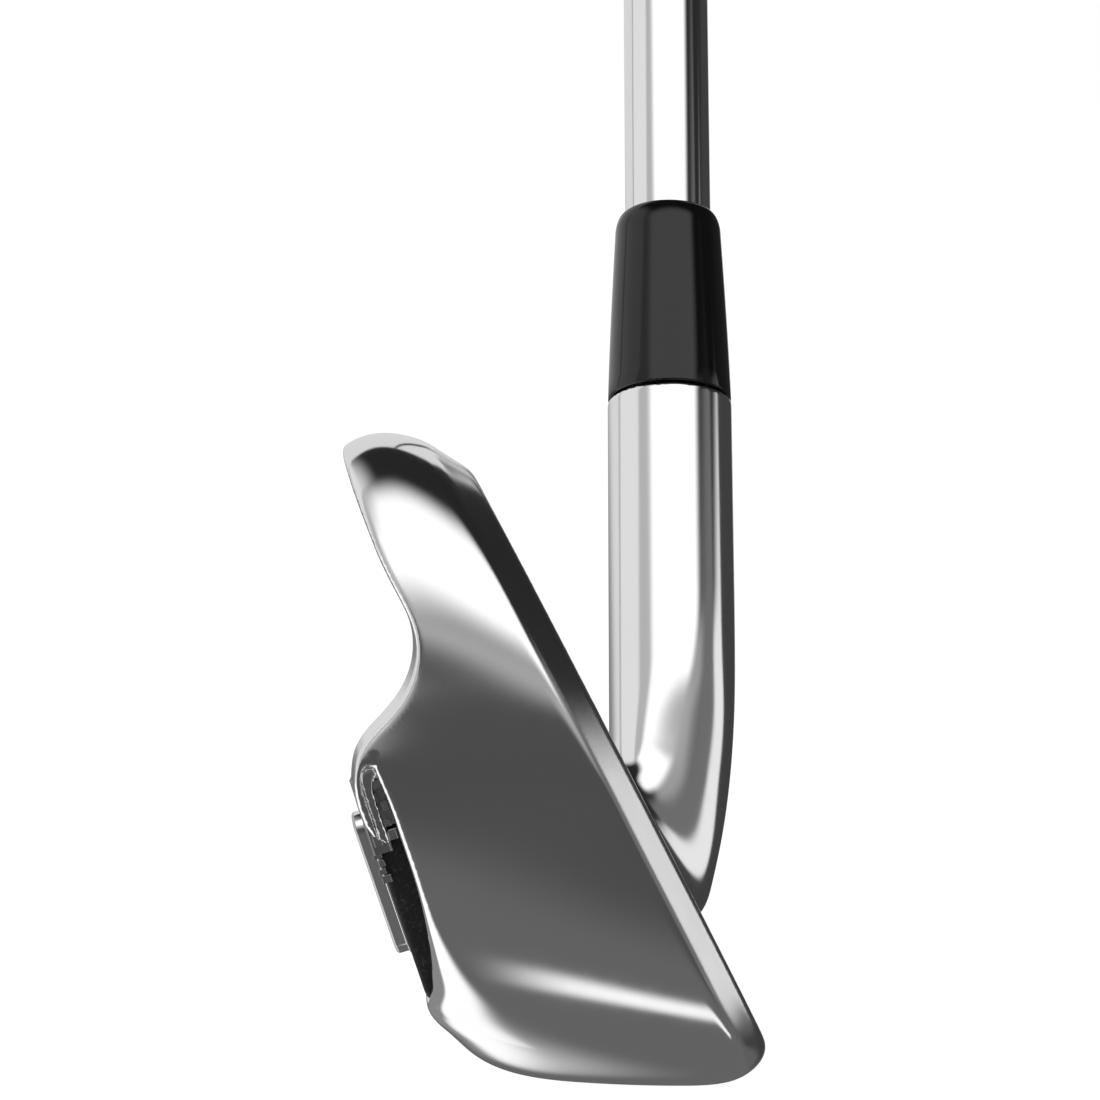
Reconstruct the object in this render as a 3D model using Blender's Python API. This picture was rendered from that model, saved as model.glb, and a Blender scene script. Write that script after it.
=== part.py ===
"""Right-handed cavity-back iron golf club, assembled from separate pieces.

Frame: +Z up, origin where the shaft axis meets the ground, +X towards the
target (the strike face looks that way), +Y from the toe towards the heel.
The club stands as it is held at address, so the shaft leans along +Y by the
lie angle and the sole touches Z = 0.
"""

import bmesh
import bpy
import numpy as np
from math import cos, pi, radians, sin, sqrt, tan
from mathutils import Matrix, Vector

MM = 0.001

# ---------------------------------------------------------------- dimensions
# All in millimetres and degrees.
LIE = 63.5              # shaft axis above the ground
LOFT = 29.7             # face plane from the vertical
FACE_X = 2.4            # where the face plane meets the ground
CLUB_LENGTH = 940.0     # along the shaft axis, ground to butt
HOSEL_TOP = 58.7        # along the shaft axis, ground to hosel rim
HOSEL_D = 13.4
BORE_D = 11.0
BORE_DEPTH = 28.0

TOE_Y = -72.0           # outermost point of the toe
TOE_CENTRE_Y = -56.5    # the toe outline is drawn about this point
TOE_CENTRE_Z = 28.0
TOE_TOP_Z = 56.8
TOE_BOTTOM_Z = 0.4
TOE_CORNER_POWER = 2.6  # squareness of the toe-to-sole corner
TOPLINE_SLOPE = 0.74
TOPLINE_EASE = 8.0
SOLE_CAMBER_R = 600.0   # heel-to-toe camber of the sole
SOLE_LOW_Y = -30.0
NECK_Y = -10.0          # the blade sections end here and the neck begins
PIVOT_Y, PIVOT_Z = 0.0, 33.0    # the neck sections fan out about this line

# Rear profile at the toe: (height, depth) from the top edge down to the sole.
# The muscle has a rounded lip near z = 28, and a shelf under it for the insert.
REAR_PROFILE = [
    (60.0, -43.4), (53.8, -40.0), (48.0, -37.1), (42.2, -34.0), (39.6, -33.5),
    (36.9, -34.0), (34.7, -35.2), (32.6, -36.9), (30.4, -38.0), (28.4, -38.2), (27.2, -37.4),
    (26.2, -35.3), (25.0, -34.6), (19.0, -32.9), (10.8, -30.7), (6.5, -29.4), (3.6, -27.6),
    (1.8, -25.0), (0.0, -22.0),
]
REAR_TAPER = 0.07       # the rear comes forward towards the heel by this much per mm
HEEL_TAPER = 0.0045     # quadratic narrowing of the heel half, per mm
UPPER_TAPER = 0.04      # and the thin upper blade by this much more
LIP_FALL = 0.22         # the muscle's lip drops towards the heel by this much per mm
TAPER_Y = -66.0
TOP_CROWN = 3.0         # rise of the top edge between its front and rear corners

# Frame of the shelf that carries the insert and the badge.
REAR_ANGLE = 19.0       # the shelf leans back by this much
REAR_YAW = 7.2          # and follows the taper towards the heel
REAR_POINT = (-30.3, -40.0, 16.0)

FACE_PLATE_T = 2.2
FACE_INSET = 4.5
SCORE_PITCH = 3.7
SCORE_COUNT = 11
SCORE_W, SCORE_D = 0.9, 0.45

SHAFT_TIP_D = 9.4
SHAFT_BUTT_D = 15.24
SHAFT_WALL = 0.5
SHAFT_TIP_S = 33.5
FIRST_STEP_S = 250.0
STEP_PITCH = 32.0
STEP_COUNT = 13

FERRULE_TOP_D = 11.6
FERRULE_LENGTH = 21.6

GRIP_MOUTH_S = 672.0
GRIP_MOUTH_D = 19.6
GRIP_BUTT_D = 26.8
GRIP_CAP_T = 4.0
GAP = 0.3               # clearance between neighbouring pieces

AXIS = Vector((0.0, cos(radians(LIE)), sin(radians(LIE))))
FACE_N = Vector((cos(radians(LOFT)), 0.0, sin(radians(LOFT))))
FACE_UP = Vector((-sin(radians(LOFT)), 0.0, cos(radians(LOFT))))
_turn = Matrix.Rotation(radians(-REAR_YAW), 3, "Z")
REAR_N = _turn @ Vector((-cos(radians(REAR_ANGLE)), 0.0, -sin(radians(REAR_ANGLE))))
REAR_UP = _turn @ Vector((-sin(radians(REAR_ANGLE)), 0.0, cos(radians(REAR_ANGLE))))
REAR_ALONG = _turn @ Vector((0.0, 1.0, 0.0))


# ------------------------------------------------------------------- helpers
def clear_scene():
    for obj in list(bpy.data.objects):
        bpy.data.objects.remove(obj, do_unlink=True)


def material(name, colour, metallic, roughness, coat=0.0):
    mat = bpy.data.materials.new(name)
    mat.use_nodes = True
    bsdf = mat.node_tree.nodes["Principled BSDF"]
    bsdf.inputs["Base Color"].default_value = (*colour, 1.0)
    bsdf.inputs["Metallic"].default_value = metallic
    bsdf.inputs["Roughness"].default_value = roughness
    bsdf.inputs["Coat Weight"].default_value = coat
    return mat


def finish(obj, mat, smooth_angle=35.0):
    obj.data.materials.append(mat)
    obj.data.shade_smooth()
    obj.data.set_sharp_from_angle(angle=radians(smooth_angle))
    return obj


def from_bmesh(name, bm, mat=None):
    bmesh.ops.recalc_face_normals(bm, faces=bm.faces)
    mesh = bpy.data.meshes.new(name)
    bm.to_mesh(mesh)
    bm.free()
    obj = bpy.data.objects.new(name, mesh)
    bpy.context.scene.collection.objects.link(obj)
    return finish(obj, mat) if mat else obj


def loft(name, rings, mat=None, cap=True):
    """Bridges closed rings of equal length, in metres, and caps both ends."""
    bm = bmesh.new()
    loops = [[bm.verts.new(p) for p in ring] for ring in rings]
    count = len(loops[0])
    for low, high in zip(loops, loops[1:]):
        for i in range(count):
            j = (i + 1) % count
            bm.faces.new((low[i], low[j], high[j], high[i]))
    if cap:
        bm.faces.new(loops[0][::-1])
        bm.faces.new(loops[-1])
    return from_bmesh(name, bm, mat)


def boolean(target, other, operation="DIFFERENCE"):
    """Applies an exact Boolean and removes the helper that made it."""
    modifier = target.modifiers.new(other.name, "BOOLEAN")
    modifier.operation = operation
    modifier.solver = "EXACT"
    modifier.object = other
    bpy.context.view_layer.update()
    graph = bpy.context.evaluated_depsgraph_get()
    mesh = bpy.data.meshes.new_from_object(target.evaluated_get(graph))
    target.modifiers.clear()
    target.data = mesh
    bpy.data.objects.remove(other, do_unlink=True)
    return target


def on_axis(s, r=0.0, angle=0.0):
    """A point at distance s up the shaft axis and r from it, in metres."""
    across = Vector((1.0, 0.0, 0.0))
    back = AXIS.cross(across)
    return (AXIS * s + (across * cos(angle) + back * sin(angle)) * r) * MM


def turned(name, profile, mat=None, sides=48):
    """A closed profile of (s, r) points spun round the shaft axis. Points with
    r = 0 become a single pole."""
    bm = bmesh.new()
    loops = []
    for s, r in profile:
        if r == 0:
            loops.append([bm.verts.new(on_axis(s))])
        else:
            loops.append([bm.verts.new(on_axis(s, r, 2 * pi * i / sides)) for i in range(sides)])
    pairs = list(zip(loops, loops[1:]))
    if profile[0][1] > 0 and profile[-1][1] > 0:
        pairs.append((loops[-1], loops[0]))
    for low, high in pairs:
        for i in range(sides):
            j = (i + 1) % sides
            corners = [low[i % len(low)], low[j % len(low)], high[j % len(high)], high[i % len(high)]]
            unique = []
            for vert in corners:
                if vert not in unique:
                    unique.append(vert)
            if len(unique) > 2:
                bm.faces.new(unique)
    return from_bmesh(name, bm, mat)


def prism(name, outline, frame, low, high, mat=None, bevel=0.0):
    """A 2D outline (u, v) in mm, extruded along the frame's third axis from
    low to high. frame is (origin, u axis, v axis, w axis) in mm."""
    origin, ua, va, wa = (Vector(v) for v in frame)
    bm = bmesh.new()
    base = [bm.verts.new((origin + ua * u + va * v + wa * low) * MM) for u, v in outline]
    face = bm.faces.new(base)
    moved = bmesh.ops.extrude_face_region(bm, geom=[face])
    verts = [v for v in moved["geom"] if isinstance(v, bmesh.types.BMVert)]
    bmesh.ops.translate(bm, verts=verts, vec=wa * (high - low) * MM)
    bm.normal_update()
    if bevel:
        top = [e for e in bm.edges if all(v in verts for v in e.verts)]
        bmesh.ops.bevel(bm, geom=top, offset=bevel * MM, segments=2, affect="EDGES", profile=0.5)
    return from_bmesh(name, bm, mat)


def rounded(corners, radius, steps=5):
    """Rounds the corners of a 2D polygon. Each corner may carry its own radius."""
    points = []
    count = len(corners)
    for i in range(count):
        p = Vector(corners[i][:2])
        r = corners[i][2] if len(corners[i]) > 2 else radius
        a = (Vector(corners[i - 1][:2]) - p).normalized()
        b = (Vector(corners[(i + 1) % count][:2]) - p).normalized()
        half = a.angle(b) / 2
        reach = r / tan(half)
        start, end = p + a * reach, p + b * reach
        centre = p + (a + b).normalized() * (r / sin(half))
        s, e = start - centre, end - centre
        for k in range(steps + 1):
            t = k / steps
            d = s.lerp(e, t)
            points.append(tuple(centre + d.normalized() * r))
    return points


# ------------------------------------------------------------- blade outline
def smooth_curve(table, value):
    """Monotone cubic through (key, value) pairs, sorted by falling key."""
    xs = np.array([p[0] for p in table][::-1])
    ys = np.array([p[1] for p in table][::-1])
    h = np.diff(xs)
    d = np.diff(ys) / h
    m = np.zeros(len(xs))
    m[0], m[-1] = d[0], d[-1]
    for i in range(1, len(xs) - 1):
        if d[i - 1] * d[i] > 0:
            w1, w2 = 2 * h[i] + h[i - 1], h[i] + 2 * h[i - 1]
            m[i] = (w1 + w2) / (w1 / d[i - 1] + w2 / d[i])
    value = min(max(value, xs[0]), xs[-1])
    i = min(max(int(np.searchsorted(xs, value)) - 1, 0), len(xs) - 2)
    t = (value - xs[i]) / h[i]
    return float(
        (2 * t**3 - 3 * t**2 + 1) * ys[i] + (t**3 - 2 * t**2 + t) * h[i] * m[i]
        + (3 * t**2 - 2 * t**3) * ys[i + 1] + (t**3 - t**2) * h[i] * m[i + 1]
    )


def top_z(y):
    if y < TOE_CENTRE_Y:
        q = min((TOE_CENTRE_Y - y) / (TOE_CENTRE_Y - TOE_Y), 1.0)
        return TOE_CENTRE_Z + (TOE_TOP_Z - TOE_CENTRE_Z) * sqrt(1 - q * q)
    run = sqrt((y - TOE_CENTRE_Y) ** 2 + TOPLINE_EASE**2) - TOPLINE_EASE
    return TOE_TOP_Z - TOPLINE_SLOPE * run


def bottom_z(y):
    if y < TOE_CENTRE_Y:
        q = min((TOE_CENTRE_Y - y) / (TOE_CENTRE_Y - TOE_Y), 1.0)
        n = TOE_CORNER_POWER
        return TOE_CENTRE_Z - (TOE_CENTRE_Z - TOE_BOTTOM_Z) * (1 - q**n) ** (1 / n)
    return (y - SOLE_LOW_Y) ** 2 / (2 * SOLE_CAMBER_R) * TOE_BOTTOM_Z / 0.585


def face_x(z, depth=0.0):
    return FACE_X - z * tan(radians(LOFT)) - depth / cos(radians(LOFT))


def rear_x(z, y):
    """Depth of the rear surface: the toe profile, tapered and with its lip
    lowered towards the heel."""
    along = max(y - TAPER_Y, 0.0)
    up = min(max((50.0 - z) / 14.0, 0.0), 1.0) * min(max((z - 5.0) / 12.0, 0.0), 1.0)
    up = up * up * (3 - 2 * up)
    thin = min(max((z + LIP_FALL * along * up - 33.0) / 8.0, 0.0), 1.0)
    heel = HEEL_TAPER * max(y + 40.0, 0.0) ** 2
    return smooth_curve(REAR_PROFILE, z + LIP_FALL * along * up) + (REAR_TAPER + UPPER_TAPER * thin) * along + heel


def section(y, front=9, top=5, rear=28, sole=7):
    """Closed (x, z) loop of the blade at station y: up the face, over the top
    edge, down the rear and back along the sole."""
    zt, zb = top_z(y), bottom_z(y)
    height = zt - zb
    soft = min(1.0, height / 18.0)
    lead, trail = 4.4 * soft, 4.2 * soft
    zf0, zf1 = zb + lead, zt - 1.6 * TOP_CROWN * soft
    points = [(face_x(zf0 + (zf1 - zf0) * i / (front - 1)), zf0 + (zf1 - zf0) * i / (front - 1)) for i in range(front)]
    zr1, zr0 = zt - TOP_CROWN * soft, zb + trail
    xf, xr = face_x(zf1), rear_x(zr1, y)
    for i in range(1, top + 1):
        t = i / (top + 1)
        edge = zf1 * (1 - t) + zr1 * t
        points.append((xf * (1 - t) + xr * t, edge + (zt - edge) * (4 * t * (1 - t)) ** 0.8))
    for i in range(rear):
        z = zr1 + (zr0 - zr1) * i / (rear - 1)
        points.append((rear_x(z, y), z))
    xs0, xs1 = rear_x(zr0, y) + 0.3, face_x(zf0)
    for i in range(1, sole + 1):
        t = 0.5 - 0.5 * cos(pi * i / (sole + 1))
        edge = zr0 * (1 - t) + zf0 * t
        bow = 1 - abs(2 * t - 1) ** 5
        points.append((xs0 * (1 - t) + xs1 * t, edge + (zb - edge) * bow))
    return points


def blade_rings():
    rings = []
    reach = TOE_CENTRE_Y - TOE_Y
    angles = [4, 10, 18, 27, 36, 46, 57, 70, 84]
    for a in angles:
        y = TOE_CENTRE_Y - reach * cos(radians(a))
        rings.append([(x, y, z) for x, z in section(y)])
    for y in (-53, -49, -45, -41, -37, -33, -29, -25, -21, -17, -13.5, NECK_Y):
        rings.append([(x, y, z) for x, z in section(y)])
    return rings


def neck_rings(first):
    """Rings that fan out about the pivot line and turn from the blade section
    into the round hosel."""
    count = len(first)
    turn = radians(LIE)
    s_join = (PIVOT_Y * AXIS.y + PIVOT_Z * AXIS.z)
    axis_r = (AXIS * s_join - Vector((0, PIVOT_Y, PIVOT_Z))).length
    blade = [(x, PIVOT_Z - z) for x, _, z in first]
    # Start angle on the circle for each blade point, by its bearing from the section's middle.
    cx = sum(p[0] for p in blade) / count
    cr = sum(p[1] for p in blade) / count
    length = [0.0]
    for i in range(count):
        a, b = blade[i], blade[(i + 1) % count]
        length.append(length[-1] + sqrt((a[0] - b[0]) ** 2 + (a[1] - b[1]) ** 2))
    bearing0 = np.arctan2(blade[0][1] - cr, blade[0][0] - cx)
    r = HOSEL_D / 2
    circle = []
    for i in range(count):
        t = bearing0 - 0.25 + 2 * pi * length[i] / length[-1] * -1.0
        circle.append((r * cos(t), axis_r + r * sin(t)))
    rings = []
    steps = 9
    for k in range(1, steps + 1):
        f = k / steps
        ease = f * f * (3 - 2 * f)
        angle = turn * f
        down = Vector((0, sin(angle), -cos(angle)))
        shift = Vector((0, NECK_Y, 0)).lerp(Vector((0, PIVOT_Y, 0)), ease)
        base = Vector((0, shift.y, PIVOT_Z))
        ring = []
        for (bx, br), (hx, hr) in zip(blade, circle):
            x = bx + (hx - bx) * ease
            d = br + (hr - br) * ease
            ring.append(tuple(Vector((x, 0, 0)) + base + down * d))
        rings.append(ring)
    top = []
    for s in (s_join + 6.0, HOSEL_TOP):
        ring = []
        for hx, hr in circle:
            down = Vector((0, sin(turn), -cos(turn)))
            ring.append(tuple(Vector((hx, 0, 0)) + Vector((0, PIVOT_Y, PIVOT_Z)) + down * hr + AXIS * (s - s_join)))
        top.append(ring)
    return rings + top


# ------------------------------------------------------------------- outline
def face_outline(inset):
    """The face outline in (y, height up the face), inset by a margin."""
    points = []
    heel = -13.0
    for y in np.linspace(heel, TOE_CENTRE_Y, 8):
        points.append((float(y), (top_z(float(y)) - 1.6 * TOP_CROWN - inset) / cos(radians(LOFT))))
    reach = TOE_CENTRE_Y - TOE_Y
    for a in (75, 60, 45, 30, 15, 0, -15, -30, -45, -60, -75):
        q = cos(radians(a))
        y = TOE_CENTRE_Y - (reach - inset) * q
        if a >= 0:
            z = TOE_CENTRE_Z + (TOE_TOP_Z - 1.6 * TOP_CROWN - inset - TOE_CENTRE_Z) * sin(radians(a))
        else:
            n = TOE_CORNER_POWER
            z = TOE_CENTRE_Z - (TOE_CENTRE_Z - 4.8 - inset) * (1 - q**n) ** (1 / n)
        points.append((y, z / cos(radians(LOFT))))
    for y in (-50, -36, -22, heel):
        points.append((y, (bottom_z(y) + 4.4 + inset) / cos(radians(LOFT))))
    return points


# Rear cavity in (y, height up the face, corner radius).
CAVITY = [(-59.5, 54.5, 5.5), (-62.5, 44.0, 4.5), (-60.5, 41.5, 2.0), (-26.0, 32.0, 1.5), (-25.5, 35.0, 1.2), (-53.0, 55.0, 5.5)]
FACE_FRAME = ((FACE_X, 0, 0), (0, 1, 0), tuple(FACE_UP), tuple(FACE_N))
LEVEL_FRAME = ((0, 0, 0), (0, 1, 0), (0, 0, 1), (1, 0, 0))
REAR_FRAME = (REAR_POINT, tuple(REAR_ALONG), tuple(REAR_UP), tuple(REAR_N))

# Outlines in the shelf's frame: (along, up, corner radius).
INSERT = [(-25.0, 8.2, 3.0), (-22.0, -8.0, 3.0), (24.0, -8.0, 2.6), (25.5, -2.2, 2.0)]
BADGE = [(-23.2, 6.4, 2.6), (-21.4, -4.6, 2.2), (19.0, -6.6, 1.8), (20.5, -2.8, 1.4)]
INLAY = [(-20.6, 4.4, 1.2), (-19.8, 0.2, 1.0), (-9.0, -0.6, 1.0), (-9.0, 1.9, 1.0)]


def scaled(outline, grow):
    """Offsets a convex outline outwards by grow."""
    count = len(outline)
    result = []
    for i in range(count):
        p = Vector(outline[i][:2])
        a = (p - Vector(outline[i - 1][:2])).normalized()
        b = (Vector(outline[(i + 1) % count][:2]) - p).normalized()
        na, nb = Vector((a.y, -a.x)), Vector((b.y, -b.x))
        area = sum(outline[j - 1][0] * outline[j][1] - outline[j][0] * outline[j - 1][1] for j in range(count))
        if area < 0:
            na, nb = -na, -nb
        mid = (na + nb).normalized()
        q = p + mid * (grow / max(mid.dot(na), 0.3))
        result.append((q.x, q.y, max(outline[i][2] + grow, 0.4)) if len(outline[i]) > 2 else (q.x, q.y))
    return result


def main():
    clear_scene()
    scene = bpy.context.scene
    scene.unit_settings.system = "METRIC"

    chrome = material("chrome", (0.78, 0.78, 0.79), 1.0, 0.08)
    satin = material("satin_steel", (0.62, 0.62, 0.63), 1.0, 0.32)
    shaft_chrome = material("shaft_chrome", (0.80, 0.80, 0.81), 1.0, 0.07)
    black_gloss = material("black_gloss", (0.012, 0.012, 0.013), 0.0, 0.15, 0.4)
    black_matt = material("black_matt", (0.02, 0.02, 0.02), 0.0, 0.75)
    dark_grey = material("dark_grey", (0.09, 0.09, 0.095), 0.6, 0.4)
    rubber = material("rubber", (0.025, 0.025, 0.027), 0.0, 0.7)
    adhesive = material("adhesive", (0.42, 0.40, 0.33), 0.0, 0.5)
    brass = material("brass", (0.72, 0.53, 0.25), 1.0, 0.3)
    tungsten = material("tungsten", (0.35, 0.35, 0.36), 1.0, 0.45)
    polymer = material("polymer", (0.05, 0.05, 0.055), 0.0, 0.6)
    cork = material("cork", (0.55, 0.40, 0.25), 0.0, 0.9)
    tape = material("tape", (0.72, 0.70, 0.62), 0.0, 0.8)

    # --- head casting
    blade = blade_rings()
    rings = blade + neck_rings(blade[-1])
    head = loft("head_body", [[Vector(p) * MM for p in ring] for ring in rings])

    bore = turned("bore_cut", [(HOSEL_TOP - BORE_DEPTH, 0), (HOSEL_TOP - BORE_DEPTH, BORE_D / 2),
                               (HOSEL_TOP + 4, BORE_D / 2), (HOSEL_TOP + 4, 0)])
    boolean(head, bore)

    # Recess for the face plate, then the opening behind it.
    plate_outline = face_outline(FACE_INSET)
    recess = face_outline(FACE_INSET - GAP)
    boolean(head, prism("recess_cut", recess, FACE_FRAME, -FACE_PLATE_T - GAP, 3.0))
    boolean(head, prism("opening_cut", face_outline(FACE_INSET + 2.6), FACE_FRAME, -FACE_PLATE_T - 3.4, 0.0))
    pocket = rounded([(-61.0, 5.5), (-20.0, 5.5), (-20.0, 15.0), (-61.0, 25.0)], 3.5)
    boolean(head, prism("muscle_pocket_cut", pocket, LEVEL_FRAME, -21.5, -7.0))
    cavity = rounded(CAVITY, 5.0)
    boolean(head, prism("cavity_cut", cavity, FACE_FRAME, -24.0, -FACE_PLATE_T - 2.0))

    # Rear recess for the insert and badge, and the toe weight's pocket under it.
    boolean(head, prism("rear_recess_cut", rounded(scaled(INSERT, GAP), 4.0), REAR_FRAME, -1.5, 8.0))
    weight_at = Vector(REAR_POINT) + REAR_ALONG * -15.0
    weight_frame = (tuple(weight_at), tuple(REAR_ALONG), tuple(REAR_UP), tuple(REAR_N))
    disc = [(4.6 * cos(2 * pi * i / 32), 4.6 * sin(2 * pi * i / 32)) for i in range(32)]
    disc_cut = [(4.9 * cos(2 * pi * i / 32), 4.9 * sin(2 * pi * i / 32)) for i in range(32)]
    boolean(head, prism("weight_cut", disc_cut, weight_frame, -6.6, 0.0))
    finish(head, chrome)

    # --- pieces in and on the head
    plate = prism("face_plate", plate_outline, FACE_FRAME, -FACE_PLATE_T, 0.0)
    for i in range(SCORE_COUNT):
        up = 10.5 + SCORE_PITCH * i
        toe_end = -62.0 if i > 1 else -58.0
        heel_limit = -16.5
        if i > 5:
            heel_limit = -16.5 - (i - 5) * 5.6
        line = rounded([(toe_end, up - SCORE_W / 2), (heel_limit, up - SCORE_W / 2),
                        (heel_limit, up + SCORE_W / 2), (toe_end, up + SCORE_W / 2)], 0.44, 2)
        boolean(plate, prism(f"score_cut_{i:02d}", line, FACE_FRAME, -SCORE_D, 1.0))
    finish(plate, satin)

    damper = rounded([(-60.4, 6.1), (-20.6, 6.1), (-20.6, 14.4), (-60.4, 24.2)], 3.0)
    prism("cavity_damper", damper, LEVEL_FRAME, -20.9, -15.3, polymer)
    prism("toe_weight", disc, weight_frame, -5.8, -2.0, tungsten)
    prism("badge_adhesive", rounded(scaled(INSERT, -1.0), 3.0), REAR_FRAME, -1.2, -0.9, adhesive)
    insert = prism("rear_insert", rounded(INSERT, 4.0), REAR_FRAME, -0.6, 1.2, bevel=0.4)
    boolean(insert, prism("insert_cut", rounded(scaled(BADGE, -1.0), 3.0), REAR_FRAME, 0.5, 3.0))
    finish(insert, black_matt)
    badge = prism("rear_badge", rounded(BADGE, 3.0), REAR_FRAME, 1.5, 2.6, bevel=0.3)
    foot = prism("badge_foot", rounded(scaled(BADGE, -1.6), 2.6), REAR_FRAME, 0.8, 2.0)
    boolean(badge, foot, "UNION")
    boolean(badge, prism("inlay_cut", rounded(scaled(INLAY, GAP), 1.5), REAR_FRAME, 2.0, 5.0))
    finish(badge, chrome)
    prism("badge_inlay", rounded(INLAY, 1.5), REAR_FRAME, 2.3, 3.0, dark_grey, bevel=0.25)

    # --- hosel joint
    hosel_floor = HOSEL_TOP - BORE_DEPTH
    sleeve_o, sleeve_i = BORE_D / 2 - 0.22, SHAFT_TIP_D / 2 + 0.22
    turned("hosel_epoxy", [(hosel_floor + 1.5, sleeve_i), (hosel_floor + 1.5, sleeve_o),
                           (HOSEL_TOP - 0.5, sleeve_o), (HOSEL_TOP - 0.5, sleeve_i)], adhesive)

    s0 = HOSEL_TOP + GAP
    fr = SHAFT_TIP_D / 2 + 0.25
    steps = 6
    top_r = FERRULE_TOP_D / 2
    profile = [(s0, fr), (s0, HOSEL_D / 2), (s0 + 0.4 * FERRULE_LENGTH, HOSEL_D / 2 - 0.36)]
    profile.append((s0 + FERRULE_LENGTH - 2.4, top_r))
    for k in range(1, steps + 1):
        a = pi / 2 * k / steps
        profile.append((s0 + FERRULE_LENGTH - 2.4 + 2.4 * sin(a), fr + (top_r - fr) * cos(a) + 0.15 * sin(a)))
    profile.append((s0 + FERRULE_LENGTH, fr))
    turned("ferrule", profile, black_gloss)

    # --- shaft
    outer = [(SHAFT_TIP_S, SHAFT_TIP_D / 2), (FIRST_STEP_S, SHAFT_TIP_D / 2)]
    grow = (SHAFT_BUTT_D - SHAFT_TIP_D) / 2 / STEP_COUNT
    r = SHAFT_TIP_D / 2
    for i in range(STEP_COUNT):
        s = FIRST_STEP_S + STEP_PITCH * i
        r += grow
        outer.append((s + 1.2, r))
        outer.append((s + STEP_PITCH if i < STEP_COUNT - 1 else CLUB_LENGTH - GRIP_CAP_T - 1.0, r))
    wall = [(s, rr - SHAFT_WALL) for s, rr in outer[::-1]]
    turned("shaft", outer + wall, shaft_chrome, sides=36)

    pin_r = SHAFT_TIP_D / 2 - SHAFT_WALL - 0.3
    turned("tip_weight", [(SHAFT_TIP_S + 0.6, 0), (SHAFT_TIP_S + 0.6, pin_r - 0.4), (SHAFT_TIP_S + 1.0, pin_r),
                          (SHAFT_TIP_S + 14.0, pin_r), (SHAFT_TIP_S + 14.0, pin_r - 1.2),
                          (SHAFT_TIP_S + 30.0, pin_r - 1.2), (SHAFT_TIP_S + 30.0, 0)], brass, sides=24)
    turned("tip_plug", [(SHAFT_TIP_S + 30.6, 0), (SHAFT_TIP_S + 30.6, pin_r), (SHAFT_TIP_S + 42.0, pin_r),
                        (SHAFT_TIP_S + 42.0, 0)], cork, sides=24)

    butt_r = SHAFT_BUTT_D / 2
    turned("shaft_band", [(GRIP_MOUTH_S - 62.0, butt_r - grow + 0.25), (GRIP_MOUTH_S - 62.0, butt_r - grow + 0.55),
                          (GRIP_MOUTH_S - 46.0, butt_r - grow + 0.55), (GRIP_MOUTH_S - 46.0, butt_r - grow + 0.25)],
           dark_grey, sides=36)

    # --- grip
    end_s = CLUB_LENGTH - GRIP_CAP_T - GAP
    turned("grip_tape", [(GRIP_MOUTH_S + 3.0, butt_r + 0.25), (GRIP_MOUTH_S + 3.0, butt_r + 0.6),
                         (end_s - 2.0, butt_r + 0.6), (end_s - 2.0, butt_r + 0.25)], tape, sides=36)
    inner = butt_r + 0.9
    grip = [(GRIP_MOUTH_S, inner), (GRIP_MOUTH_S, GRIP_MOUTH_D / 2 - 0.8), (GRIP_MOUTH_S + 0.8, GRIP_MOUTH_D / 2)]
    for t in (0.2, 0.4, 0.6, 0.8, 1.0):
        grip.append((GRIP_MOUTH_S + 0.8 + (end_s - GRIP_MOUTH_S - 0.8) * t,
                     GRIP_MOUTH_D / 2 + (GRIP_BUTT_D - GRIP_MOUTH_D) / 2 * t**1.15))
    grip.append((end_s, inner))
    turned("grip", grip, rubber)
    cap_r = GRIP_BUTT_D / 2
    cap = [(CLUB_LENGTH - GRIP_CAP_T, 1.0), (CLUB_LENGTH - GRIP_CAP_T, cap_r), (CLUB_LENGTH - 1.6, cap_r),
           (CLUB_LENGTH - 0.5, cap_r - 0.8), (CLUB_LENGTH, cap_r - 2.4), (CLUB_LENGTH, 1.0)]
    turned("grip_cap", cap, rubber)


main()
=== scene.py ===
"""Looks for the cavity-back iron: a fine head, ferrule, shaft, insert, badge and
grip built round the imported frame, with procedural materials and a soft studio.

Sizes below are in millimetres, in the same frame as the CAD: +Z up, origin
where the shaft axis meets the ground, +X towards the target, +Y toe to heel.
"""

from math import asin, atan2, ceil, cos, degrees, pi, radians, sin, sqrt, tan

import bpy
import bmesh
import numpy as np
from mathutils import Matrix, Vector


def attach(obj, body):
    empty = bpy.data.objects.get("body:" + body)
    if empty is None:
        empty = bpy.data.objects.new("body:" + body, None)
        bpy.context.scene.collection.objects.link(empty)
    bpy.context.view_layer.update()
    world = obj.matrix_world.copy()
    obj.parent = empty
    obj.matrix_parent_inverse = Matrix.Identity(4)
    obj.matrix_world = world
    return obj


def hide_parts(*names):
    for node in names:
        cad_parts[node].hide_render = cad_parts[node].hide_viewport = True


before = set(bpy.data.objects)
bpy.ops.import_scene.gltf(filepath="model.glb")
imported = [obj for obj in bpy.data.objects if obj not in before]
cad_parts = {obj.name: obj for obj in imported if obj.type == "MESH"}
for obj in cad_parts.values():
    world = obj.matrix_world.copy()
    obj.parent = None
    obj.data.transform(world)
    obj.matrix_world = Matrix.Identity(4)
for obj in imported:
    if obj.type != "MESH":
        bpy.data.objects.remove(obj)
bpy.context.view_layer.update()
MM = 0.001

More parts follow.
